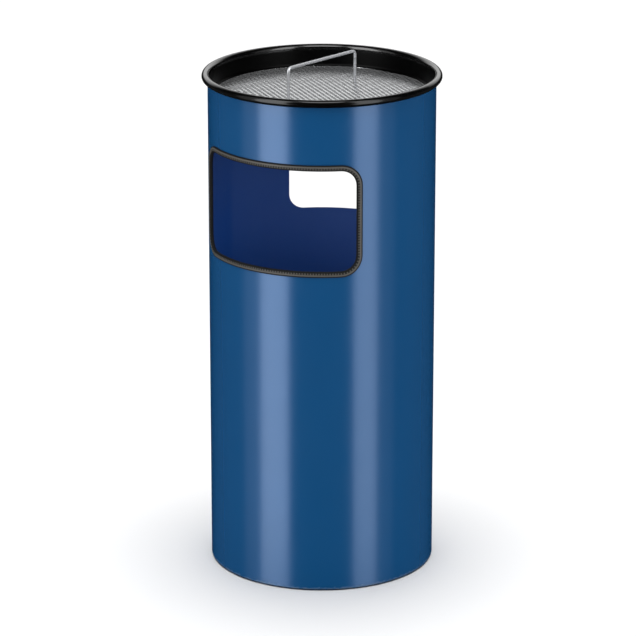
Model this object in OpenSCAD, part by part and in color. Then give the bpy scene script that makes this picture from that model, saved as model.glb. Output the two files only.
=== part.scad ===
// Round floor-standing ashtray bin: a painted steel cylinder with two drop openings that face each other, an ash
// tray that hangs on its top edge, and a loose sieve with a wire handle. Millimetres, +Z up. The origin is on
// the floor, on the body's axis. The front opening faces -Y and the rear opening +Y.

/* [Body] */
// Outside diameter of the steel body
body_d = 320; // [260:1:400]
// Thickness of the body's sheet
body_t = 1; // [0.8:0.1:2]
// Height of the ash tray's rim above the floor
rim_h = 716; // [560:1:900]

/* [Drop openings] */
// Clear width of each opening, measured round the body
opening_w = 258; // [120:1:320]
// Clear height of each opening
opening_h = 143; // [80:1:200]
// Corner radius of the clear openings
opening_corner = 22; // [8:1:36]
// Drop from the rim to the top of the clear openings
opening_drop = 101; // [90:1:160]

/* [Rubber trim] */
// Thickness of the trim over the sheet's cut edge
trim_web = 2.5; // [2:0.1:4]
// Reach of the trim's lips over the sheet
trim_lip = 6; // [4:0.1:10]
// Thickness of each lip
trim_lip_t = 2; // [1.6:0.1:3]
// Gap where the trim's two ends meet, under the opening
trim_joint = 0.5; // [0.3:0.1:1]
// Thickness of the steel strip inside the trim
core_t = 0.6; // [0.4:0.1:0.8]

/* [Ash tray] */
// Thickness of the tray's sheet
tray_t = 1; // [0.8:0.1:1.5]
// Outside radius of the rolled bead round the rim
bead_r = 5.5; // [5:0.1:8]
// Depth of the tray below its rim
tray_depth = 86; // [60:1:98]
// Depth of the sieve's ledge below the rim
ledge_drop = 30.5; // [24:0.5:44]
// Width of the sieve's ledge
ledge_w = 10; // [8:0.5:16]
// Lean of the tray's wall between the rim and the ledge
wall_lean = 2.5; // [0:0.5:5]
// Lean of the tray's bowl between the ledge and its floor
bowl_lean = 6; // [0:0.5:15]
// Radius of the tray's pressed corners
tray_corner = 4; // [2:0.5:6]

/* [Sieve] */
// Thickness of the sieve's expanded metal
sieve_t = 1.2; // [0.8:0.1:2]
// Long way of the sieve's openings, just over twice the real mesh's 14
mesh_long = 32; // [28:1:40]
// Short way of the sieve's openings, twice the real mesh's 8
mesh_short = 16; // [14:1:20]
// Width of the strands between the openings
strand_w = 3.2; // [2.4:0.2:4.8]
// Angle from +X to the handle's bar, as the loose sieve lies in the tray
sieve_turn = 77; // [-180:1:180]

/* [Lift handle] */
// Diameter of the handle's wire
wire_d = 4.2; // [3:0.1:6]
// Width of the handle between the centre lines of its legs
handle_w = 139; // [80:1:170]
// Height of the bar's centre line above the sieve
handle_rise = 46; // [30:1:70]
// Bend radius of the wire's centre line
handle_bend = 6; // [4:0.5:12]

/* [Base and feet] */
// Thickness of the base plate
base_t = 1.2; // [0.8:0.1:2]
// Height of the base plate's floor above the ground
base_rise = 14; // [12:0.5:24]
// Radius of the base plate's pressed corner
base_corner = 4; // [2:0.5:6]
// Height that the feet keep the shell off the ground
foot_proud = 2; // [1.5:0.5:4]
// Diameter of each rubber foot at the plate
foot_d = 30; // [24:1:40]
// Distance of the feet from the body's edge
foot_inset = 40; // [34:1:60]
// Number of feet
foot_count = 4; // [4:4]
// Diameter of the rivets that hold the feet
rivet_d = 4.8; // [4:0.2:6]

/* [Hidden] */

round_fn = 180;
wire_fn = 32;
corner_steps = 5;

// Clearances: a loose piece at its seat, the tray's wall inside the body, pieces that are pressed or welded on
seat_gap = 0.3;
tray_gap = 0.7;
fit_gap = 0.1;
sieve_gap = 4.3;
rivet_gap = 0.1;

// Body
body_r = body_d / 2;
body_in_r = body_r - body_t;

// Ash tray: the bead hooks over the body's top edge, which reaches up inside it
wall_out_r = body_in_r - tray_gap;
wall_in_r = wall_out_r - tray_t;
bead_c_r = wall_in_r + bead_r;
bead_z = rim_h - bead_r;
bead_hollow_r = bead_r - tray_t;
body_top = bead_z + sqrt(pow(bead_hollow_r - seat_gap, 2) - pow(bead_c_r - body_in_r, 2));
ledge_z = rim_h - ledge_drop;
ledge_out_r = wall_in_r - wall_lean;
ledge_in_r = ledge_out_r - ledge_w;
tray_floor_z = rim_h - tray_depth + tray_t;

// Sieve and handle
sieve_r = ledge_out_r - sieve_gap;
sieve_top = ledge_z + sieve_t;
half_cell = [mesh_long, mesh_short] / 2;
hole_share = 1 - strand_w / 2 * norm(half_cell) / (half_cell[0] * half_cell[1]);
mesh_rows = ceil(sieve_r / mesh_short);
leg_h = handle_rise - handle_bend;

// Openings
opening_top = rim_h - opening_drop;
opening_bottom = opening_top - opening_h;
trim_edge = trim_web + trim_lip;
core_start = (trim_web - fit_gap - core_t) / 2;
core_off = (trim_lip_t + fit_gap - core_t) / 2;

// Base and feet
base_r = body_in_r - fit_gap;
plate_under = base_rise - base_t;
foot_ring_r = body_r - foot_inset;
foot_taper = 2;
head_d = 2 * rivet_d;
head_h = rivet_d / 2.4;
head_recess = plate_under * 0.6;
bulb_d = 1.5 * rivet_d;
bulb_h = rivet_d;

// Unit vector along v
function unit(v) = v / norm(v);

// Unit normal to the left of the way from a to b
function left(a, b) = let (d = unit(b - a)) [-d[1], d[0]];

// A path's rounded corner at b, between a and c, as points on its arc
function corner(a, b, c, r) =
  let (u = unit(a - b),
       v = unit(c - b),
       half = acos(u * v) / 2,
       centre = b + unit(u + v) * r / sin(half),
       from = b + u * r / tan(half) - centre,
       sweep = 180 - 2 * half,
       way = cross(from, b - centre) > 0 ? 1 : -1)
  [for (i = [0 : corner_steps])
    let (t = way * sweep * i / corner_steps)
    centre + [from[0] * cos(t) - from[1] * sin(t), from[0] * sin(t) + from[1] * cos(t)]];

// Point i of a path, moved t to the path's left along the mitre
function beside(path, i, t) =
  let (last = len(path) - 1,
       before = left(path[max(i - 1, 0)], path[max(i, 1)]),
       after = left(path[min(i, last - 1)], path[min(i + 1, last)]))
  path[i] + t * (before + after) / (1 + before * after);

// Section of a pressed sheet: one face follows the path, the other lies t to its left
module sheet_section(path, t) {
  polygon(concat(path, [for (i = [len(path) - 1 : -1 : 0]) beside(path, i, t)]));
}

// Upright ring between two radii and two heights
module ring(r_in, r_out, z_low, z_high) {
  difference() {
    translate([0, 0, z_low]) cylinder(r = r_out, h = z_high - z_low, $fn = round_fn);
    translate([0, 0, z_low - 1]) cylinder(r = r_in, h = z_high - z_low + 2, $fn = round_fn);
  }
}

// Turns its children so that -Y points at an end of the front opening, where its corners' centres lie, and
// +X points out of the opening
module at_end(side) {
  mirror([side, 0, 0]) rotate([0, 0, (opening_w / 2 - opening_corner) / body_r * 180 / PI]) children();
}

// The front opening as a solid that reaches from the body's axis out past its wall, grown all round
module opening(grow) {
  corner_r = opening_corner + grow;
  low = opening_bottom - grow;
  high = opening_top + grow;
  reach = 2 * body_r;
  intersection_for (side = [0, 1])
    at_end(side) translate([-2 * reach, -reach, low]) cube([2 * reach, 2 * reach, high - low]);
  for (side = [0, 1])
    at_end(side) {
      translate([0, -reach, low + corner_r]) cube([corner_r, reach, high - low - 2 * corner_r]);
      for (z = [low + corner_r, high - corner_r])
        translate([0, 0, z]) rotate([90, 0, 0]) cylinder(r = corner_r, h = reach, $fn = 64);
    }
}

// Places its children at each foot, or at foot number i
module at_feet(numbers = [1 : foot_count]) {
  for (i = numbers)
    rotate([0, 0, 45 + (i - 1) * 360 / foot_count]) translate([foot_ring_r, 0, 0]) children();
}

module body_shell() {
  color("#174a7b") difference() {
    ring(body_in_r, body_r, foot_proud, body_top);
    opening(trim_web);
    rotate([0, 0, 180]) opening(0);
  }
}

module base_plate() {
  flange_foot = [base_r, foot_proud + base_t];
  edge = [base_r, base_rise];
  centre = [0, base_rise];
  color("#174a7b") difference() {
    rotate_extrude($fn = round_fn)
      sheet_section([flange_foot, each corner(flange_foot, edge, centre, base_corner), centre], base_t);
    at_feet() cylinder(d = rivet_d + 2 * rivet_gap, h = 2 * base_rise, $fn = wire_fn);
  }
}

module foot(i) {
  color("#202020") at_feet([i]) difference() {
    cylinder(d1 = foot_d - foot_taper, d2 = foot_d, h = plate_under, $fn = 48);
    translate([0, 0, -1]) cylinder(d = rivet_d + 2 * rivet_gap, h = 2 * base_rise, $fn = wire_fn);
    translate([0, 0, -1]) cylinder(d = head_d + 2 * rivet_gap, h = head_recess + 1, $fn = wire_fn);
  }
}

module foot_rivets() {
  color("silver") at_feet() {
    translate([0, 0, head_recess - head_h]) cylinder(d = head_d, h = head_h, $fn = wire_fn);
    translate([0, 0, head_recess - head_h]) cylinder(d = rivet_d, h = base_rise + bulb_h - head_recess + head_h,
                                                     $fn = wire_fn);
    translate([0, 0, base_rise]) cylinder(d = bulb_d, h = bulb_h, $fn = wire_fn);
  }
}

// U-shaped channel along the front opening's edge. Its web is `web` thick and starts `start` outside the clear
// opening, its lips end `end` outside it, and each lip reaches from `inner` to `outer` off the sheet's faces.
module edge_channel(start, end, web, inner, outer) {
  low = opening_bottom - end - 1;
  high = opening_top + end + 1;
  difference() {
    intersection() {
      ring(body_in_r - outer, body_r + outer, low, high);
      opening(end);
    }
    opening(start);
    difference() {
      ring(body_in_r - inner, body_r + inner, low, high);
      opening(start + web);
    }
    translate([-trim_joint / 2, -2 * body_r, low]) cube([trim_joint, 2 * body_r, opening_h / 2]);
  }
}

module front_trim() {
  color("#1c1c1e") difference() {
    edge_channel(0, trim_edge, trim_web - fit_gap, fit_gap, trim_lip_t);
    core_strip(fit_gap / 2);
  }
}

module front_trim_core() {
  color("gray") core_strip(0);
}

// The steel strip inside the trim, grown by `grow` on every face
module core_strip(grow) {
  edge_channel(core_start - grow, trim_edge - core_start + grow, core_t + 2 * grow, core_off - grow,
               core_off + core_t + grow);
}

module ash_tray() {
  rim = [wall_in_r, bead_z];
  neck = [wall_in_r, bead_z - bead_r / 2];
  ledge_out = [ledge_out_r, ledge_z];
  ledge_in = [ledge_in_r, ledge_z];
  floor_edge = [ledge_in_r - bowl_lean, tray_floor_z];
  centre = [0, tray_floor_z];
  color("#0c0c0c") rotate_extrude($fn = round_fn) {
    difference() {
      translate([bead_c_r, bead_z]) circle(r = bead_r, $fn = 64);
      translate([bead_c_r, bead_z]) circle(r = bead_hollow_r, $fn = 64);
      translate([0, bead_z - 2 * bead_r]) square([body_r + tray_gap, 2 * bead_r]);
    }
    sheet_section([rim, neck, each corner(neck, ledge_out, ledge_in, tray_corner),
                   each corner(ledge_out, ledge_in, floor_edge, tray_corner),
                   each corner(ledge_in, floor_edge, centre, 2 * tray_corner), centre], tray_t);
  }
}
module sieve_mesh() {
  legs = [for (side = [-1, 1]) [side * handle_w / 2, 0]];
  color("silver") translate([0, 0, ledge_z]) rotate([0, 0, sieve_turn]) difference() {
    cylinder(r = sieve_r, h = sieve_t, $fn = round_fn);
    for (k = [0, 1], i = [-mesh_rows : mesh_rows], j = [-mesh_rows : mesh_rows]) {
      p = [(i + k / 2) * mesh_short, (j + k / 2) * mesh_long];
      if (norm(p) < sieve_r - mesh_long / 2 && min([for (leg = legs) norm(p - leg)]) > mesh_short)
        translate([p[0], p[1], -1]) mesh_hole();
    }
  }
}

// One diamond opening of the expanded metal
module mesh_hole() {
  tips = hole_share * half_cell;
  linear_extrude(height = sieve_t + 2) polygon([[tips[1], 0], [0, tips[0]], [-tips[1], 0], [0, -tips[0]]]);
}

module lift_handle() {
  color("#8a8c90") translate([0, 0, sieve_top]) rotate([0, 0, sieve_turn]) {
    for (side = [0, 180])
      rotate([0, 0, side]) {
        translate([handle_w / 2, 0, 0]) cylinder(d = wire_d, h = leg_h, $fn = wire_fn);
        translate([handle_w / 2 - handle_bend, 0, leg_h]) rotate([90, 0, 0])
          rotate_extrude(angle = 90, $fn = round_fn) translate([handle_bend, 0]) circle(d = wire_d, $fn = wire_fn);
      }
    translate([0, 0, handle_rise]) rotate([0, 90, 0])
      cylinder(d = wire_d, h = handle_w - 2 * handle_bend, center = true, $fn = wire_fn);
  }
}

body_shell();
base_plate();
foot(1);  // foot_1
foot(2);  // foot_2
foot(3);  // foot_3
foot(4);  // foot_4
foot_rivets();
front_trim();
front_trim_core();
ash_tray();
sieve_mesh();
lift_handle();
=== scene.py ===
# %% [markdown]
# # A round ashtray bin
# A painted steel cylinder stands on four rubber feet. Litter goes in through two openings that face each
# other, and cigarette ends go into the black tray on top, onto a sieve that lifts out by its wire handle.
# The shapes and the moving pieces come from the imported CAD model, which is loaded first and never
# changed. What CAD leaves plain is made here: the sieve's true strands, the ribbed rubber trim, the
# welds, every finish, and the studio.

import math

import bmesh
import bpy
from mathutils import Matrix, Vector
from mathutils.bvhtree import BVHTree


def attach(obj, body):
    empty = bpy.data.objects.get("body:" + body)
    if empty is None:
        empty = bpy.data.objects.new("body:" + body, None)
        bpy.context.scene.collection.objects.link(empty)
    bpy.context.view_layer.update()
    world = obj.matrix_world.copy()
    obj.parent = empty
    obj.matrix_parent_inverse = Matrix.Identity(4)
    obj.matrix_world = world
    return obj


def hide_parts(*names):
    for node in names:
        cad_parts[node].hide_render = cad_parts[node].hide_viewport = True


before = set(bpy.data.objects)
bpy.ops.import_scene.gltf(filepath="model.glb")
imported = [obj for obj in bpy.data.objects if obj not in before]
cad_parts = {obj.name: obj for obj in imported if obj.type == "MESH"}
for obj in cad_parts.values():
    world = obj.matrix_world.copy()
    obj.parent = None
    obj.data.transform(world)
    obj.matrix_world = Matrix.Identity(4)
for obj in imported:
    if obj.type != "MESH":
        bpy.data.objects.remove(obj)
bpy.context.view_layer.update()
print("pieces:", ", ".join(sorted(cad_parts)))

# %% [markdown]
# ## The camera
# In the photograph the body's sides are parallel, as they are with a level camera and a strong shift of
# its lens. The other views of the scene keep the camera's shift, and one that strong would push the bin
# out of them. So this camera has no shift. It looks down by about 18 degrees, from far off and with a
# long lens, and in its picture the body narrows by a few pixels towards the foot. It stands to the right
# of the front opening's middle. A camera has few numbers, so they are named and set by what can be
# measured in the photograph: the body's two sides, the rim, the bottom edge, both openings and the
# handle. The aim lies a few millimetres left of the bin's axis, because the bin stands a little right of
# the picture's middle.

# %% Camera
IMAGE_W, IMAGE_H = 636, 636
camera_turn = math.radians(28.9)    # from the middle of the front opening, to the right
camera_reach = 4.814                # metres from the bin's axis, measured along the floor
camera_height = 1.916
aim_left, aim_height = 0.00557, 0.3537
lens_mm, sensor_mm = 200.77, 36.0

to_camera = Vector((math.sin(camera_turn), -math.cos(camera_turn), 0))
to_right = Vector((math.cos(camera_turn), math.sin(camera_turn), 0))
camera_at = to_camera * camera_reach + Vector((0, 0, camera_height))
aim_at = Vector((0, 0, aim_height)) - to_right * aim_left

camera = bpy.data.objects.new("camera", bpy.data.cameras.new("camera"))
camera.data.lens, camera.data.sensor_width, camera.data.sensor_fit = lens_mm, sensor_mm, "AUTO"
camera.data.clip_end = 60
camera.location = camera_at
camera.rotation_euler = (aim_at - camera_at).to_track_quat("-Z", "Y").to_euler()
bpy.context.scene.collection.objects.link(camera)
bpy.context.scene.camera = camera
bpy.context.view_layer.update()
camera_pose = camera.matrix_world.copy()
print("camera at", [round(v, 3) for v in camera_at], "looks at", [round(v, 3) for v in aim_at])

# %% [markdown]
# ## Points in the photograph
# Each entry is a thing that can be found again in the photograph, with its x and y in pixels from the top
# left. `None` stands for a number that the feature doesn't have, as the left side of the body has no y of
# its own. At the end, the same things are measured on the finished pieces and compared with these
# numbers.

# %% Image points
image_points = {
    "object_left": (202.2, None), "object_right": (441.2, None),
    "object_top": (None, 43.3), "object_bottom": (None, 590.8),
    "body_left_foot": (211.6, None), "body_right_foot": (432.2, None),
    "rim_front_underside": (322.0, 107.9),
    "handle_left_bend": (286.6, 69.6), "handle_right_bend": (353.0, 51.3),
    "handle_right_weld": (352.3, 83.6),
    "sieve_back": (None, 65.7), "sieve_left": (218.4, None), "sieve_right": (422.5, None),
    "front_opening_right": (356.8, None), "trim_right": (362.8, None),
    "front_opening_top": (None, 172.2), "front_opening_bottom": (None, 272.6),
    "rear_opening_left": (290.2, None), "rear_opening_bottom": (None, 205.4),
}
print(len(image_points), "image points")

# %% [markdown]
# ## Between the picture and the bin
# One function turns a point of the bin into a place in the picture. The other goes back: it sends a ray
# from the camera through a place in the picture until it meets a piece, so that small fittings can be put
# where the photograph shows them. A ray that misses takes the place on the piece that lies nearest to it.

# %% To the picture and back
def to_picture(point):
    """x and y in the picture, in pixels, and the depth in metres, of a point in the bin's frame."""
    p = camera_pose.inverted() @ Vector(point)
    scale = lens_mm / sensor_mm * max(IMAGE_W, IMAGE_H) / -p.z
    return IMAGE_W / 2 + p.x * scale, IMAGE_H / 2 - p.y * scale, -p.z


def tree_of(*objects):
    """A search tree of the finished meshes."""
    corners, faces = [], []
    for piece in objects:
        start = len(corners)
        corners += [piece.matrix_world @ v.co for v in piece.data.vertices]
        faces += [[start + i for i in face.vertices] for face in piece.data.polygons]
    return BVHTree.FromPolygons(corners, faces)


def place(x, y, carrier):
    """The place and the surface's direction where the picture's point x, y meets the carrier's tree."""
    longest = max(IMAGE_W, IMAGE_H)
    shift_x, shift_y = camera.data.shift_x, camera.data.shift_y
    aim = Vector((x - IMAGE_W / 2 + shift_x * longest, IMAGE_H / 2 - y + shift_y * longest,
                  -longest * lens_mm / sensor_mm))
    start = camera_pose.translation
    ray = (camera_pose.to_3x3() @ aim).normalized()
    spot, normal, _, _ = carrier.ray_cast(start, ray)
    if spot is None:
        tries = [carrier.find_nearest(start + ray * (3.5 + 0.002 * i)) for i in range(1500)]
        spot, normal, _, _ = min(tries, key=lambda found: found[3])
    return spot, normal


print("the rim's back comes out at", [round(v, 1) for v in to_picture((-0.081, 0.147, 0.716))])

# %% [markdown]
# ## A small language for nodes
# Every finish is a net of nodes, and long nets are hard to read as code. `Wire` wraps one socket so that
# sums can be written as sums: `0.3 + 0.1 * grain` adds its own Math nodes. `Bench` makes every other
# node, with its settings first and then what goes into its sockets, by name or by number.

# %% Wires and benches
class Wire:
    """One output socket, on which + - * / ** and > add Math nodes."""

    def __init__(self, bench, socket):
        self.bench, self.socket = bench, socket

    def also(self, name):
        """Another output of the same node."""
        return Wire(self.bench, self.socket.node.outputs[name])

    def sum(self, operation, first, second):
        kind = "ShaderNodeMath"
        return self.bench.node(kind, {"operation": operation}, {0: first, 1: second})

    def __add__(self, other): return self.sum("ADD", self, other)
    def __radd__(self, other): return self.sum("ADD", other, self)
    def __sub__(self, other): return self.sum("SUBTRACT", self, other)
    def __rsub__(self, other): return self.sum("SUBTRACT", other, self)
    def __mul__(self, other): return self.sum("MULTIPLY", self, other)
    def __rmul__(self, other): return self.sum("MULTIPLY", other, self)
    def __truediv__(self, other): return self.sum("DIVIDE", self, other)
    def __pow__(self, other): return self.sum("POWER", self, other)
    def __gt__(self, other): return self.sum("GREATER_THAN", self, other)


class Bench:
    """A node tree in the making."""

    def __init__(self, tree):
        self.tree = tree

    def node(self, kind, settings=None, inputs=None, out=0):
        """Adds one node and returns its output socket named or numbered out."""
        made = self.tree.nodes.new(kind)
        for name, value in (settings or {}).items():
            setattr(made, name, value)
        for name, value in (inputs or {}).items():
            if isinstance(value, Wire):
                self.tree.links.new(value.socket, made.inputs[name])
            else:
                made.inputs[name].default_value = value
        return Wire(self, made.outputs[out])

    def blend(self, share, first, second):
        """A colour between two colours."""
        return self.node("ShaderNodeMix", {"data_type": "RGBA"}, {0: share, 6: first, 7: second}, 2)

    def vector(self, operation, first, second=(0, 0, 0), out=0):
        return self.node("ShaderNodeVectorMath", {"operation": operation}, {0: first, 1: second}, out)

    def scaled(self, vector, by):
        """A vector or a colour, made longer or brighter by a number."""
        start = vector if isinstance(vector, Wire) else tuple(vector)[:3]
        return self.node("ShaderNodeVectorMath", {"operation": "SCALE"}, {0: start, "Scale": by})

    def between(self, value, low, high):
        """0 below low, 1 above high, and a smooth rise between them."""
        return self.node("ShaderNodeMapRange", {"interpolation_type": "SMOOTHSTEP", "clamp": True},
                         {"Value": value, "From Min": low, "From Max": high})


# %% Helpers for finishes
def linear(red, green, blue):
    """A colour written as in a picture, 0 to 255, as the shader's own numbers."""
    parts = [v / 255 for v in (red, green, blue)]
    return tuple(v / 12.92 if v <= 0.04045 else ((v + 0.055) / 1.055) ** 2.4 for v in parts) + (1,)


def new_finish(name):
    """A material with an empty bench, and the place on the piece in millimetres as a wire."""
    material = bpy.data.materials.new(name)
    material.use_nodes = True
    material.node_tree.nodes.clear()
    bench = Bench(material.node_tree)
    spot = bench.scaled(bench.node("ShaderNodeTexCoord", out="Object"), 1000)
    return material, bench, spot


def grain(bench, spot, size, detail=2, roughness=0.5, stretch=(1, 1, 1)):
    """Noise from 0 to 1 with lumps about size millimetres across, longer where stretch is over 1."""
    shrunk = bench.vector("DIVIDE", spot, tuple(size * s for s in stretch))
    return bench.node("ShaderNodeTexNoise", {"noise_dimensions": "3D"},
                      {"Vector": shrunk, "Scale": 1, "Detail": detail, "Roughness": roughness})


def bumps(bench, height, depth_mm):
    """A normal from a height of 0 to 1 that stands for depth_mm millimetres."""
    return bench.node("ShaderNodeBump", {}, {"Height": height, "Distance": depth_mm / 1000, "Strength": 1.0})


def close_finish(material, bench, inputs):
    """Puts the values and wires on one Principled shader and ends the net."""
    shader = bench.node("ShaderNodeBsdfPrincipled", {}, inputs)
    end = bench.tree.nodes.new("ShaderNodeOutputMaterial")
    bench.tree.links.new(shader.socket, end.inputs["Surface"])
    return material


def dress(node, material):
    """Gives a CAD node its finish."""
    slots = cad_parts[node].data.materials
    slots[0] = material
    print(node, "wears", material.name)

# %% [markdown]
# ## Blue powder coat
# Powder coat is baked on steel as a dry powder. It melts into an even, hard skin with a half-bright gloss
# and the faint dimples of orange peel. Its highlights in the photograph are blue-white, so the shader has
# a share of metal, which tints them. Inside, the same paint lies in shade and looks dull navy, so the inner
# side has a darker colour, which is painted shade, and little gloss. One finish does both sides of the
# sheet: it asks how far from the bin's axis it is. The noise that makes the peel is a few millimetres
# across, as on real coated sheet. The small grey scuffs in the lowest few millimetres are a guess.

# %% Blue powder coat
def powder_coat(name, outside, inside, split_radius, gloss):
    """Coat whose colour turns to painted shade at the sheet's inner face, split_radius mm from the axis."""
    material, bench, spot = new_finish(name)
    x_y = bench.vector("MULTIPLY", spot, (1, 1, 0))
    radius = bench.vector("LENGTH", x_y, out="Value")
    height = bench.node("ShaderNodeSeparateXYZ", {}, {0: spot}, "Z")
    within = 1 - bench.between(radius, split_radius - 0.2, split_radius + 0.2)

    cloud = grain(bench, spot, 90, detail=3)
    speck = grain(bench, spot, 0.7, detail=1)
    shade = 0.94 + 0.09 * cloud + 0.03 * speck
    # Painted shade: inside split_radius the coat takes the darker inside colour, for the shade inside the
    # bin.
    coat_and_painted_shade = bench.blend(within, outside, inside)
    toned = bench.scaled(coat_and_painted_shade, shade)

    scuff = grain(bench, spot, 5, detail=4, roughness=0.7, stretch=(1, 1, 0.5))
    low = 1 - bench.between(height, 2.5, 9)
    worn = bench.between(scuff + 0.32 * low, 0.72, 0.84) * low
    colour = bench.blend(0.45 * worn, toned, linear(96, 112, 124))

    peel = grain(bench, spot, 2.4, detail=1)
    rough = gloss + 0.05 * (grain(bench, spot, 28, detail=3) - 0.5) + 0.6 * within + 0.2 * worn
    return close_finish(material, bench, {
        "Base Color": colour, "Roughness": rough, "Metallic": 0.28 * (1 - within),
        "Specular IOR Level": 1.0, "Normal": bumps(bench, peel + 0.25 * speck, 0.012)})


# The second colour of each coat is painted shade inside the bin: the body's inner face and the base plate's
# middle.
blue_coat = powder_coat("blue powder coat", linear(3, 72, 121), linear(3, 38, 90), 159.5, 0.22)
base_coat = powder_coat("base powder coat", linear(15, 60, 104), linear(15, 44, 96), 150, 0.42)
dress("body_shell", blue_coat)
dress("base_plate", base_coat)

# %% [markdown]
# ## Black enamel
# By its deep gloss, the tray is taken to be pressed sheet in black enamel. It is the glossiest finish on
# the bin, so it needs little of its own: a deep black, a slight waviness that bends its reflections as
# real enamel does, and a film of fine ash dust on the flat places below the sieve, which is a guess. Only
# the rim has the clear coat. On the rim's outermost part the coat is weaker. That was found by trial: a
# full coat there mirrors the box overhead more brightly than the photograph shows.

# %% Black enamel
def enamel():
    material, bench, spot = new_finish("black enamel")
    height = bench.node("ShaderNodeSeparateXYZ", {}, {0: spot}, "Z")
    normal = bench.node("ShaderNodeNewGeometry", out="Normal")
    facing = bench.node("ShaderNodeSeparateXYZ", {}, {0: normal}, "Z")
    radius = bench.vector("LENGTH", bench.vector("MULTIPLY", spot, (1, 1, 0)), out="Value")
    on_rim = bench.between(height, 706, 711)
    outermost = on_rim * bench.between(radius, 165, 167.5)
    settled = bench.between(facing, 0.6, 0.95) * (1 - bench.between(height, 676, 682))
    patch = grain(bench, spot, 14, detail=5, roughness=0.65)
    dust = settled * bench.between(patch, 0.35, 0.75)
    colour = bench.blend(0.35 * dust, linear(4, 4, 4), linear(120, 114, 104))
    wave = grain(bench, spot, 7, detail=1)
    fine = grain(bench, spot, 1.1, detail=2)
    return close_finish(material, bench, {
        "Base Color": colour, "Roughness": 0.34 + 0.06 * (patch - 0.5) + 0.4 * dust - 0.12 * on_rim,
        "Specular IOR Level": 0.12, "Coat Weight": on_rim - 0.6 * outermost, "Coat IOR": 1.9,
        "Coat Roughness": 0.14, "Normal": bumps(bench, wave + 0.15 * fine, 0.02)})


black_enamel = enamel()
dress("ash_tray", black_enamel)

# %% [markdown]
# ## Rubber
# The feet are taken to be moulded rubber and the trim to be extruded rubber. Each has its own dark tone,
# and both have a dull wide sheen and the same fine, even grain. The trim is paler where it stands proud
# and nearly black in its recesses, where the black is painted shade. The feet have pale dust where they
# touch the ground, which is a guess, as the photograph doesn't show them.

# %% Rubber
def rubber(name, tone, dusty, gloss, raised=None):
    """Rubber that is dusty at the ground, with painted shade where it stands less than raised mm out."""
    material, bench, spot = new_finish(name)
    height = bench.node("ShaderNodeSeparateXYZ", {}, {0: spot}, "Z")
    coarse = grain(bench, spot, 9, detail=4)
    fine = grain(bench, spot, 0.5, detail=2)
    touch = (1 - bench.between(height, 0.4, 3.5)) * bench.between(coarse, 0.3, 0.7) * dusty
    dark = bench.scaled(tone, 0.85 + 0.3 * coarse)
    rough = gloss + 0.14 * (coarse - 0.5) + 0.3 * touch
    if raised:
        radius = bench.vector("LENGTH", bench.vector("MULTIPLY", spot, (1, 1, 0)), out="Value")
        proud = bench.between(radius, raised - 0.25, raised + 0.05)
        # Painted shade: the recesses, less than raised millimetres out, are nearly black.
        dark = bench.blend(proud, linear(8, 8, 8), dark)
        rough = rough + 0.45 * (1 - proud)
    colour = bench.blend(0.6 * touch, dark, linear(128, 122, 112))
    return close_finish(material, bench, {
        "Base Color": colour, "Roughness": rough, "Specular IOR Level": 0.35,
        "Normal": bumps(bench, fine + 0.4 * coarse, 0.03)})


foot_rubber = rubber("foot rubber", linear(46, 46, 47), 1.0, 0.5)
trim_rubber = rubber("trim rubber", linear(74, 72, 68), 0.0, 0.42, raised=161.8)
for number in (1, 2, 3, 4):
    dress(f"foot_{number}", foot_rubber)

# %% [markdown]
# ## Bare metals
# By their tone, the sieve and the handle are taken to be steel with bright zinc on it. The rivets and the
# strip inside the trim are out of sight, so their aluminium and spring steel are guesses. A metal's
# colour is its reflection, so the finish is mostly in the roughness: cloudy patches, and fine lines that
# run along the handle's bar and upwards on the strip. The sieve and the handle are only partly metal in
# the shader. How much so was found by trial, from their brightness in the photograph.

# %% Bare metals
def metal(name, tone, rough, spread, line=(1, 1, 1), turn=0.0, tarnish=0.15, bare=1.0):
    """Cloudy metal whose metallic share is bare, with fine lines that are long where line is over 1."""
    material, bench, spot = new_finish(name)
    turned = bench.node("ShaderNodeMapping", {"vector_type": "POINT"},
                        {"Vector": spot, "Rotation": (0, 0, -turn)})
    cloud = grain(bench, spot, 8, detail=4, roughness=0.6)
    lines = grain(bench, turned, 0.5, detail=2, stretch=line)
    dull = bench.between(cloud, 0.45, 0.8)
    bright = bench.scaled(tone, 0.9 + 0.16 * lines)
    colour = bench.blend(tarnish * dull, bright, linear(92, 88, 82))
    return close_finish(material, bench, {
        "Base Color": colour, "Metallic": bare,
        "Roughness": rough + spread * (dull - 0.5) + 0.08 * (lines - 0.5),
        "Normal": bumps(bench, lines, 0.008)})


sieve_turn = math.radians(77)
sieve_zinc = metal("sieve zinc", linear(232, 234, 236), 0.25, 0.1, tarnish=0.08, bare=0.8)
weld_metal = metal("weld metal", linear(140, 138, 136), 0.5, 0.1, tarnish=0.5)
wire_steel = metal("handle wire", linear(236, 238, 243), 0.3, 0.1, line=(40, 1, 1), turn=sieve_turn,
                   bare=0.5)
rivet_metal = metal("rivet aluminium", linear(222, 223, 224), 0.34, 0.1, tarnish=0.3)
spring_strip = metal("spring strip", linear(196, 198, 202), 0.3, 0.1, line=(1, 1, 30))
dress("lift_handle", wire_steel)
dress("foot_rivets", rivet_metal)
dress("front_trim_core", spring_strip)

# %% [markdown]
# ## Geometry Nodes
# A rule is a better way than a thousand placed copies to make what repeats. Each tree below has named
# inputs for its sizes. The inputs are set on the modifier by the socket's identifier, the result is
# copied out as a plain mesh, and the modifier goes away with its helper object, so that only real faces
# are left.

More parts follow.
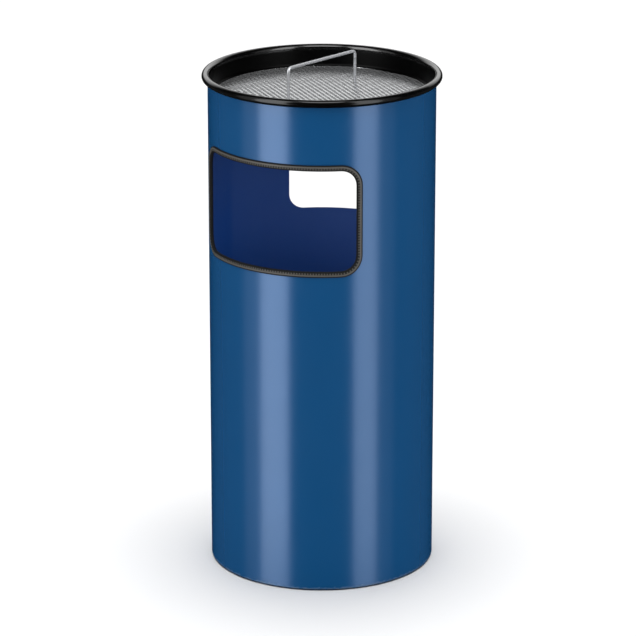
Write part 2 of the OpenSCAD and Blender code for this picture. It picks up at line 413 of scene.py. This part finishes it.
# %% Helpers for Geometry Nodes
def new_tree(name, inputs):
    """A tree with a geometry socket on each side and these named inputs. Returns its bench and wires."""
    tree = bpy.data.node_groups.new(name, "GeometryNodeTree")
    tree.interface.new_socket("Geometry", in_out="INPUT", socket_type="NodeSocketGeometry")
    tree.interface.new_socket("Geometry", in_out="OUTPUT", socket_type="NodeSocketGeometry")
    for label in inputs:
        tree.interface.new_socket(label, in_out="INPUT", socket_type="NodeSocketFloat")
    bench = Bench(tree)
    start = bench.node("NodeGroupInput")
    return bench, {label: start.also(label) for label in ("Geometry", *inputs)}


def set_spot(bench, geometry, x, y, z):
    """Moves every point to x, y, z."""
    spot = bench.node("ShaderNodeCombineXYZ", {}, {0: x, 1: y, 2: z})
    return bench.node("GeometryNodeSetPosition", {}, {"Geometry": geometry, "Position": spot})


def run_tree(name, bench, geometry, sizes, material, base=None):
    """Ends the tree, runs it with these sizes on the base mesh, and returns a plain piece at the origin."""
    plain = bench.node("GeometryNodeRealizeInstances", {}, {"Geometry": geometry})
    coated = bench.node("GeometryNodeSetMaterial", {}, {"Geometry": plain, "Material": material})
    end = bench.tree.nodes.new("NodeGroupOutput")
    bench.tree.links.new(coated.socket, end.inputs["Geometry"])
    helper = bpy.data.objects.new("helper", base or bpy.data.meshes.new("helper"))
    bpy.context.scene.collection.objects.link(helper)
    modifier = helper.modifiers.new("tree", "NODES")
    modifier.node_group = bench.tree
    for item in bench.tree.interface.items_tree:
        if item.in_out == "INPUT" and item.name in sizes:
            modifier[item.identifier] = sizes[item.name]
    mesh = bpy.data.meshes.new_from_object(helper.evaluated_get(bpy.context.evaluated_depsgraph_get()))
    helper.modifiers.clear()
    bpy.data.objects.remove(helper)
    mesh.name = name
    piece = bpy.data.objects.new(name, mesh)
    bpy.context.scene.collection.objects.link(piece)
    return piece


def report(piece):
    """Prints a piece's size, and whether it is closed and faces outwards."""
    shape = bmesh.new()
    shape.from_mesh(piece.data)
    volume = shape.calc_volume(signed=True) * 1e9
    open_edges = sum(1 for edge in shape.edges if len(edge.link_faces) < 2)
    shape.free()
    triangles = sum(len(face.vertices) - 2 for face in piece.data.polygons)
    print(f"{piece.name}: {triangles} triangles, {volume:.0f} mm3, {open_edges} open edges")


def soften(piece, degrees):
    """Smooth shading with edges that stay sharp where the faces turn by more than degrees."""
    piece.data.polygons.foreach_set("use_smooth", [True] * len(piece.data.polygons))
    piece.data.set_sharp_from_angle(angle=math.radians(degrees))

# %% [markdown]
# ## The sieve
# Expanded metal is slit in rows and pulled open, so it has no wires and no waste. Each strip between two
# rows of slits becomes a zigzag ribbon, joined to its neighbours at every knuckle, and the pull tilts it.
# The sieve is made of such ribbons: one is bent by a rule and laid side by side, with every second one
# half a mesh further on. What reaches past the disc's edge is then pushed back to it, which leaves a
# ragged edge, as if the strands were cut.

# %% One ribbon, bent by a rule
sieve_sizes = {
    "Disc radius": 0.1502, "Mesh long way": 0.014, "Mesh short way": 0.0079, "Strand width": 0.0017,
    "Strand thickness": 0.0003, "Strand tilt": math.radians(6), "Knuckle length": 0.0034,
    "Foot of the mesh": 0.6856, "Crown": 0.0012, "Turn": math.radians(78.9),
}
bench, size = new_tree("expanded metal", sieve_sizes)
half_mesh = size["Mesh long way"] / 2
half_meshes = 46                                  # on one ribbon
half_bend = 0.0004                                # metres, on each side of a bend from knuckle to strand
steps = 4 * half_meshes
bar = bench.node("GeometryNodeMeshCylinder", {"fill_type": "NGON"},
                 {"Vertices": 4, "Side Segments": steps, "Radius": 1.0, "Depth": 1.0})
spot = bench.node("GeometryNodeInputPosition")
x, y, z = (bench.node("ShaderNodeSeparateXYZ", {}, {0: spot}, axis) for axis in "XYZ")
across, upward = x - y, x + y                     # -1 or 1 at the ribbon's four corners
ring = bench.node("ShaderNodeMath", {"operation": "ROUND"}, {0: (z + 0.5) * steps})
quarter = bench.node("ShaderNodeMath", {"operation": "FLOORED_MODULO"}, {0: ring, 1: 4})
knuckle = (ring - quarter) / 4 - half_meshes / 2
near = bench.node("ShaderNodeMath", {"operation": "COMPARE"}, {0: quarter, 1: 1.5, 2: 0.6})
side = (quarter > 1.5) * 2 - 1
along = knuckle * half_mesh + side * (size["Knuckle length"] / 2 + (1 - 2 * near) * half_bend)
print("a ribbon has", steps, "steps")

# %% From a ribbon to a sheet, and the disc cut out of it
swing = bench.node("ShaderNodeMath", {"operation": "PINGPONG"}, {0: along, 1: half_mesh})
steep = half_mesh / (half_mesh - size["Knuckle length"])
wave = bench.node("ShaderNodeClamp", {}, {"Value": (1 - 2 * swing / half_mesh) * steep, "Min": -1, "Max": 1})
lean, rise = (bench.node("ShaderNodeMath", {"operation": name}, {0: size["Strand tilt"]})
              for name in ("COSINE", "SINE"))
half_w, half_t = size["Strand width"] / 2, size["Strand thickness"] / 2
hair = 0.00002                                    # metres, so that two ribbons don't share a face
throw = size["Mesh short way"] / 4 - half_w * lean - hair
ribbon = set_spot(bench, bar, wave * throw + across * half_w * lean - upward * half_t * rise,
                  along, across * half_w * rise + upward * half_t * lean - wave * half_w * rise)

row_count = bench.node("ShaderNodeMath", {"operation": "FLOOR"},
                       {0: 4 * size["Disc radius"] / size["Mesh short way"] - 0.3})
rows = bench.node("GeometryNodeMeshLine", {}, {"Count": row_count})
row = bench.node("GeometryNodeInputIndex")
odd = bench.node("ShaderNodeMath", {"operation": "FLOORED_MODULO"}, {0: row, 1: 2})
rows = set_spot(bench, rows, (row - (row_count - 1) / 2) * size["Mesh short way"] / 2, odd * half_mesh, 0.0)
sheet = bench.node("GeometryNodeRealizeInstances", {}, {
    "Geometry": bench.node("GeometryNodeInstanceOnPoints", {}, {"Points": rows, "Instance": ribbon})})

edge = bench.node("ShaderNodeMath", {"operation": "MAXIMUM"},
                  {0: size["Disc radius"] * size["Disc radius"] - x * x, 1: 0.0}) ** 0.5
cut = bench.node("ShaderNodeClamp", {}, {"Value": y, "Min": 0 - edge, "Max": edge})
out = (x * x + y * y) / (size["Disc radius"] * size["Disc radius"])
middle = size["Foot of the mesh"] + 2 * half_w * rise + half_t * lean
disc = set_spot(bench, sheet, x, cut, z + middle + size["Crown"] * (1 - out))
disc = bench.node("GeometryNodeMergeByDistance", {}, {"Geometry": disc, "Distance": 0.000008})
disc = bench.node("GeometryNodeTransform", {}, {
    "Geometry": disc, "Rotation": bench.node("ShaderNodeCombineXYZ", {}, {2: size["Turn"]})})
disc = bench.node("GeometryNodeFlipFaces", {}, {"Mesh": disc})
sieve_strands = run_tree("sieve_strands", bench, disc, sieve_sizes, sieve_zinc)
report(sieve_strands)

# %% [markdown]
# ## The rubber trim
# A U-shaped rubber strip is pushed over the front opening's cut edge so that nobody is hurt by it. Its
# outer lip has a row of small blocks with gaps between them, where the steel inside can bend round the
# corners. It is made flat, as it comes off the roll: the section runs along the opening's outline and the
# blocks stand along it at their spacing. The last step rolls the flat strip onto the cylinder, which
# turns width into an angle.

# %% The outline and the section
body_radius, opening_width, opening_height, corner_radius = 0.160, 0.258, 0.143, 0.022
trim_sizes = {"Body radius": body_radius, "Middle height": 0.5435, "Step": 0.0019, "Block spacing": 0.0038,
              "Block length": 0.0018, "Block width": 0.0022, "Block place": 0.0031, "Block height": 0.0007}


def outline():
    """The clear opening's edge, counterclockwise and flat, open at the joint in the middle of its bottom."""
    half_w, half_h = opening_width / 2 - corner_radius, opening_height / 2 - corner_radius
    points = [(0.0003, -half_h - corner_radius)]
    for middle_x, middle_y, first in ((half_w, -half_h, -90), (half_w, half_h, 0), (-half_w, half_h, 90),
                                      (-half_w, -half_h, 180)):
        for step in range(13):
            angle = math.radians(first + 90 * step / 12)
            points.append((middle_x + corner_radius * math.cos(angle),
                           middle_y + corner_radius * math.sin(angle)))
    return points + [(-0.0003, -half_h - corner_radius)]


def line_mesh(name, points, closed=False):
    mesh = bpy.data.meshes.new(name)
    edges = [(i, i + 1) for i in range(len(points) - 1)] + ([(len(points) - 1, 0)] if closed else [])
    mesh.from_pydata([(px, py, 0) for px, py in points], edges, [])
    return mesh


# From the clear edge outwards, and from the sheet's outer face outwards, in millimetres
trim_section = [
    (8.5, 0.4), (8.45, 1.0), (8.15, 1.42), (7.0, 1.52), (6.3, 1.95), (4.9, 2.0), (4.5, 1.95), (4.25, 1.45),
    (1.9, 1.42), (1.7, 1.5), (1.2, 1.5), (0.75, 1.42), (0.2, 0.9), (0.0, 0.4), (0.0, -1.5), (0.45, -2.4),
    (1.3, -2.9), (2.2, -3.0), (7.6, -3.0), (8.2, -2.75), (8.5, -2.2), (8.5, -1.4), (8.3, -1.1),
    (2.4, -1.1), (2.4, 0.1), (8.3, 0.1)]
print(len(outline()), "points in the outline,", len(trim_section), "in the section")

# %% The strip, its blocks, and the roll onto the body
section = bpy.data.objects.new("trim section", line_mesh(
    "trim section", [(away / 1000, -out / 1000) for away, out in trim_section], closed=True))
bpy.context.scene.collection.objects.link(section)
bench, size = new_tree("rubber trim", trim_sizes)
path = bench.node("GeometryNodeMeshToCurve", {}, {"Mesh": size["Geometry"]})
path = bench.node("GeometryNodeSetCurveNormal", {"mode": "Z_UP"}, {"Curve": path})
path = bench.node("GeometryNodeResampleCurve", {"mode": "LENGTH"}, {"Curve": path, "Length": size["Step"]})
profile = bench.node("GeometryNodeMeshToCurve", {}, {"Mesh": bench.node(
    "GeometryNodeObjectInfo", {}, {"Object": section}, "Geometry")})
strip = bench.node("GeometryNodeCurveToMesh", {},
                   {"Curve": path, "Profile Curve": profile, "Fill Caps": True})

stations = bench.node("GeometryNodeCurveToPoints", {"mode": "LENGTH"},
                      {"Curve": path, "Length": size["Block spacing"]})
tangent = stations.also("Tangent")
t_x, t_y = (bench.node("ShaderNodeSeparateXYZ", {}, {0: tangent}, axis) for axis in "XY")
block_middle = 0.00165                            # out from the sheet's outer face
outwards = bench.node("ShaderNodeCombineXYZ", {}, {
    0: t_y * size["Block place"], 1: 0 - t_x * size["Block place"], 2: block_middle})
stations = bench.node("GeometryNodeSetPosition", {}, {"Geometry": stations, "Offset": outwards})
block = bench.node("GeometryNodeMeshCube", {}, {"Size": bench.node("ShaderNodeCombineXYZ", {}, {
    0: size["Block length"], 1: size["Block width"], 2: size["Block height"]})})
heading = bench.node("ShaderNodeMath", {"operation": "ARCTAN2"}, {0: t_y, 1: t_x})
turn = bench.node("ShaderNodeCombineXYZ", {}, {2: heading})
blocks = bench.node("GeometryNodeRealizeInstances", {}, {"Geometry": bench.node(
    "GeometryNodeInstanceOnPoints", {}, {"Points": stations, "Instance": block, "Rotation": turn})})

flat = bench.node("GeometryNodeJoinGeometry", {}, {"Geometry": strip})
bench.tree.links.new(blocks.socket, flat.socket.node.inputs["Geometry"])
x, y, z = (bench.node("ShaderNodeSeparateXYZ", {}, {0: bench.node("GeometryNodeInputPosition")}, axis)
           for axis in "XYZ")
angle, reach = x / size["Body radius"], z + size["Body radius"]
sine, cosine = (bench.node("ShaderNodeMath", {"operation": name}, {0: angle}) for name in ("SINE", "COSINE"))
rolled = set_spot(bench, flat, reach * sine, 0 - reach * cosine, y + size["Middle height"])
rolled = bench.node("GeometryNodeFlipFaces", {}, {"Mesh": rolled})
ribbed_trim = run_tree("ribbed_trim", bench, rolled, trim_sizes, trim_rubber,
                       base=line_mesh("trim outline", outline()))
bpy.data.objects.remove(section)
report(ribbed_trim)
soften(ribbed_trim, 34)

# %% [markdown]
# ## The welds
# The handle's two ends are welded to the sieve. A small weld is a low ring of metal that has flowed round
# the wire, a little lumpy. It is a few circles of points around the leg, joined by faces, whose width
# wavers by a sine. Both welds stand at the legs of the CAD handle. Their height comes from the
# photograph: a ray through the middle of the far weld, the right one in the picture, meets the handle
# there, and the weld's foot is set a little lower.

# %% Welds at the handle's feet
def weld_ring(centre, wire=0.0021, turns=28):
    """Points and faces of one lumpy ring of weld metal round a wire at centre."""
    rings = [(0.0, 0.0030), (1.0, 0.0028), (1.25, 0.0021), (1.7, 0.0012), (2.2, 0.0004), (2.8, 0.0),
             (2.8, -0.0006), (0.0, -0.0006)]
    points, faces = [], []
    for index, (reach, up) in enumerate(rings):
        for turn in range(turns):
            angle = 2 * math.pi * turn / turns
            lump = 1 + 0.09 * math.sin(3 * angle + 1) + 0.05 * math.sin(7 * angle)
            radius = max(wire * 0.97, wire * 0.97 + (reach - 1) * 0.001 * lump) if reach > 0 else wire * 0.5
            points.append(centre + Vector((radius * math.cos(angle), radius * math.sin(angle), up)))
            if index:
                a, b = (index - 1) * turns + turn, (index - 1) * turns + (turn + 1) % turns
                faces.append((a, a + turns, b + turns, b))
    last = (len(rings) - 1) * turns
    faces += [tuple(range(turns)), tuple(reversed(range(last, last + turns)))]
    return points, faces


handle_tree = tree_of(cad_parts["lift_handle"])
half_handle, middle_above_foot = 0.0695, 0.0021     # of the handle, and of a weld, in metres
leg = Vector((math.cos(sieve_turn), math.sin(sieve_turn), 0)) * half_handle
met, _ = place(*image_points["handle_right_weld"], handle_tree)
weld_height = met.z - middle_above_foot
welds = bpy.data.meshes.new("handle_welds")
points, faces = weld_ring(Vector((leg.x, leg.y, weld_height)))
other_points, other_faces = weld_ring(Vector((-leg.x, -leg.y, weld_height)))
other_faces = [tuple(i + len(points) for i in face) for face in other_faces]
welds.from_pydata(points + other_points, [], faces + other_faces)
handle_welds = bpy.data.objects.new("handle_welds", welds)
bpy.context.scene.collection.objects.link(handle_welds)
welds.materials.append(weld_metal)
report(handle_welds)
soften(handle_welds, 50)
print("the ray met the handle at", [round(v, 4) for v in met])
print("its leg stands at", [round(v, 4) for v in leg])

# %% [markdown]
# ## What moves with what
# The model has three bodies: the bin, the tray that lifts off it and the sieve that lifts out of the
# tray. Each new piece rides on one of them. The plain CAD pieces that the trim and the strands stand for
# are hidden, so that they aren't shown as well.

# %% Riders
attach(ribbed_trim, "bin")
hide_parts("front_trim")
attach(sieve_strands, "sieve")
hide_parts("sieve_mesh")
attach(handle_welds, "sieve")
print("3 new pieces ride on the CAD bodies")

# %% [markdown]
# ## The studio
# The photograph's body shows two tall soft streaks that run down to its foot, with deep plain blue
# between them. Two strip softboxes, left and right of the camera, make such streaks here. They reach
# below the floor, and the floor neither blocks them nor shows in reflections, so that the streaks don't
# end above the foot. Each has a weaker strip beside it, which gives the streak its soft side. A broad box
# overhead lights the sieve. The black tray has a weaker one in the same place, so that its rim isn't
# burnt out where it mirrors the box. Three fills, which reflections don't show, keep the sides and the
# foot from going dark. A small lamp inside stands for the light that gets in through the openings. Behind
# the bin the world has one pale band, which the glossy rim and the sieve mirror, and the rest of it is
# dark. The floor has a lamp of its own, through light linking, which makes it white without any more
# light on the bin. Most places and brightnesses were set by comparing renders with the photograph.

# %% Floor
floor_mesh = bpy.data.meshes.new("floor")
floor_mesh.from_pydata([(-14, -14, 0), (14, -14, 0), (14, 14, 0), (-14, 14, 0)], [], [(0, 1, 2, 3)])
floor = bpy.data.objects.new("floor", floor_mesh)
bpy.context.scene.collection.objects.link(floor)
material, bench, spot = new_finish("pale floor")
tone = bench.scaled(linear(250, 250, 250), 0.985 + 0.015 * grain(bench, spot, 300, detail=2))
floor_mesh.materials.append(close_finish(material, bench, {"Base Color": tone, "Roughness": 0.8,
                                                           "Specular IOR Level": 0.2}))
floor.visible_glossy = False
floor.visible_shadow = False

# %% Lamps
lit_floor = bpy.data.collections.new("only the floor")
lit_floor.objects.link(floor)
lit_bin = bpy.data.collections.new("all but the floor")
lit_bin.objects.link(floor)
lit_bin.collection_objects[0].light_linking.link_state = "EXCLUDE"
lit_tray = bpy.data.collections.new("only the tray")
lit_tray.objects.link(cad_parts["ash_tray"])
lit_by_key = bpy.data.collections.new("all but the floor and the tray")
for dark_piece in (floor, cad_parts["ash_tray"]):
    lit_by_key.objects.link(dark_piece)
for member in lit_by_key.collection_objects:
    member.light_linking.link_state = "EXCLUDE"


def softbox(name, turn, away, height, wide, tall, brightness, aim=(0, 0, 0.4)):
    """A softbox turn degrees right of the camera, away metres off, whose face shines with brightness."""
    angle = camera_turn + math.radians(turn)
    lamp = bpy.data.objects.new(name, bpy.data.lights.new(name, "AREA"))
    lamp.data.shape, lamp.data.size, lamp.data.size_y = "RECTANGLE", wide, tall
    lamp.data.energy = brightness * math.pi * wide * tall
    lamp.location = (away * math.sin(angle), -away * math.cos(angle), height)
    lamp.rotation_euler = (Vector(aim) - lamp.location).to_track_quat("-Z", "Y").to_euler()
    lamp.light_linking.receiver_collection = lit_bin
    bpy.context.scene.collection.objects.link(lamp)
    print(name, "shines with", brightness, "from", [round(v, 2) for v in lamp.location])
    return lamp


softbox("left strip", -48, 2.2, 1.55, 1.18, 4.9, 2.6, aim=(0, 0, 1.55))
softbox("left strip's soft side", -73, 2.2, 1.55, 0.8, 4.9, 0.38, aim=(0, 0, 1.55))
softbox("right strip", 43.8, 2.2, 1.55, 0.95, 4.9, 1.95, aim=(0, 0, 1.55))
softbox("right strip's soft side", 66, 2.2, 1.55, 0.75, 4.9, 0.22, aim=(0, 0, 1.55))
key = softbox("key box", 0, 1.25, 2.9, 1.3, 1.3, 7.0, aim=(0, 0, 0.7))
key.light_linking.receiver_collection = lit_by_key
rim_box = softbox("rim box", 0, 1.25, 2.9, 1.3, 1.3, 2.6, aim=(0, 0, 0.7))
rim_box.light_linking.receiver_collection = lit_tray
for name, turn, away, wide, tall, brightness in (("left fill", -105, 2.6, 2.4, 3.0, 1.7),
                                                 ("right fill", 100, 2.6, 2.4, 3.0, 2.1),
                                                 ("low fill", 0, 1.2, 1.2, 0.6, 2.5)):
    fill = softbox(name, turn, away, -0.2, wide, tall, brightness, aim=(0, 0, 0.1))
    fill.visible_glossy = False
inner_lamp = bpy.data.objects.new("inner lamp", bpy.data.lights.new("inner lamp", "POINT"))
inner_lamp.data.energy, inner_lamp.data.shadow_soft_size = 0.9, 0.04
inner_lamp.location = (0, 0, 0.465)
inner_lamp.light_linking.receiver_collection = lit_bin
inner_lamp.visible_camera = inner_lamp.visible_glossy = False
bpy.context.scene.collection.objects.link(inner_lamp)
floor_lamp = bpy.data.objects.new("floor lamp", bpy.data.lights.new("floor lamp", "SUN"))
floor_lamp.data.energy, floor_lamp.data.angle = 3.3, math.radians(36)
floor_lamp.light_linking.receiver_collection = lit_floor
bpy.context.scene.collection.objects.link(floor_lamp)

# %% World
world = bpy.data.worlds.new("studio")
bpy.context.scene.world = world
world.use_nodes = True
world.node_tree.nodes.clear()
bench = Bench(world.node_tree)
way = bench.node("ShaderNodeTexCoord", out="Generated")
up = bench.node("ShaderNodeSeparateXYZ", {}, {0: way}, "Z")
forward = bench.vector("DOT_PRODUCT", way, tuple(to_camera), out="Value")
behind = 1 - bench.between(forward, -0.8, -0.5)
band = bench.between(up, 0.11, 0.2) * (1 - bench.between(up, 0.78, 0.9)) * behind
to_sides = bench.between(forward, -0.9, -0.5) * (1 - bench.between(forward, -0.15, 0.25))
low_sides = (1 - bench.between(up, -0.1, 0.1)) * to_sides
dark = bench.blend(low_sides, (0.01, 0.01, 0.0103, 1), (0.055, 0.055, 0.057, 1))
wall = bench.blend(bench.between(up, 0.35, 0.7), (1.0, 1.0, 1.0, 1), (0.62, 0.62, 0.62, 1))
sky = bench.blend(band, dark, wall)
end = world.node_tree.nodes.new("ShaderNodeOutputWorld")
background = bench.node("ShaderNodeBackground", {}, {"Color": sky, "Strength": 1.0})
world.node_tree.links.new(background.socket, end.inputs["Surface"])
bpy.context.scene.view_settings.view_transform = "Standard"
print("world ready")

# %% [markdown]
# ## Measuring against the photograph
# Now that the pieces are finished, each named point is measured on them: the vertices that the camera can
# see are turned into places in the picture, and an edge is the furthest of them. Only the x of
# `rim_front_underside` isn't measured, since it says where along the rim to look. The differences are
# worked out at the end.

# %% What the camera sees
def seen(piece, keep=lambda v: True):
    """Picture places of the vertices of a piece that keep() accepts and that nothing hides."""
    found = []
    eye = camera_pose.translation
    for corner in piece.data.vertices:
        at = piece.matrix_world @ corner.co
        if keep(at):
            way = at - eye
            hit, _, _, far = whole_tree.ray_cast(eye, way.normalized())
            if hit is None or far > way.length - 0.0015:
                found.append(to_picture(at)[:2])
    return found


shown = [o for o in bpy.context.scene.objects if o.type == "MESH" and o != floor
         and o.name not in ("front_trim", "sieve_mesh")]
whole_tree = tree_of(*shown)
print(len(shown), "pieces in the search tree")

# %% The named points, measured
def along_bar(at):
    """How far a place lies along the handle's bar, from the bin's axis to the back."""
    return at.x * math.cos(sieve_turn) + at.y * math.sin(sieve_turn)


def most(places, axis, way, near=None, reach=4.0):
    """The furthest place along a picture axis, 0 or 1, the way -1 or 1, near a number on the other axis."""
    kept = [p[axis] * way for p in places if near is None or abs(p[1 - axis] - near) < reach]
    return max(kept) * way if kept else None


def middle(places):
    """The middle of the box round some places in the picture."""
    if not places:
        return None, None
    return tuple((min(p[i] for p in places) + max(p[i] for p in places)) / 2 for i in (0, 1))


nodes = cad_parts
everything = [p for piece in shown for p in seen(piece)]
shell_foot = seen(nodes["body_shell"], lambda at: at.z < 0.004 and math.hypot(at.x, at.y) > 0.1595)
rear_edge = seen(nodes["body_shell"], lambda at: at.y > 0.05 and 0.465 < at.z < 0.62)
bead = seen(nodes["ash_tray"], lambda at: math.hypot(at.x, at.y) > 0.157)
clear_half_turn = math.radians(46.4)
clear_edge = seen(ribbed_trim, lambda at: (0.4715 < at.z < 0.6155
                                           and abs(math.atan2(at.x, -at.y)) < clear_half_turn))
lip_edge = seen(ribbed_trim)
bend_along, bend_above = 0.063, 0.726
near_bend = seen(nodes["lift_handle"], lambda at: along_bar(at) < -bend_along and at.z > bend_above)
far_bend = seen(nodes["lift_handle"], lambda at: along_bar(at) > bend_along and at.z > bend_above)
strands = seen(sieve_strands)
print(len(everything), "places seen")

# %% The differences
measured = {
    "object_left": (most(everything, 0, -1), None), "object_right": (most(everything, 0, 1), None),
    "object_top": (None, most(everything, 1, -1)), "object_bottom": (None, most(everything, 1, 1)),
    "body_left_foot": (most(shell_foot, 0, -1), None), "body_right_foot": (most(shell_foot, 0, 1), None),
    "rim_front_underside": (image_points["rim_front_underside"][0],
                            most(bead, 1, 1, near=image_points["rim_front_underside"][0], reach=8)),
    "handle_left_bend": middle(near_bend), "handle_right_bend": middle(far_bend),
    "handle_right_weld": middle(seen(handle_welds, lambda at: along_bar(at) > 0)),
    "sieve_back": (None, most(strands, 1, -1)),
    "sieve_left": (most(strands, 0, -1), None), "sieve_right": (most(strands, 0, 1), None),
    "front_opening_right": (most(clear_edge, 0, 1, near=225, reach=35), None),
    "trim_right": (most(lip_edge, 0, 1), None),
    "front_opening_top": (None, most([p for p in clear_edge if p[1] < 190], 1, 1, near=330, reach=8)),
    "front_opening_bottom": (None, most(clear_edge, 1, 1)),
    "rear_opening_left": (most([p for p in rear_edge if p[1] < 200], 0, -1), None),
    "rear_opening_bottom": (None, most(rear_edge, 1, 1)),
}
for name, wanted in image_points.items():
    [None if w is None or m is None else round(m - w, 2) for w, m in zip(wanted, measured[name])]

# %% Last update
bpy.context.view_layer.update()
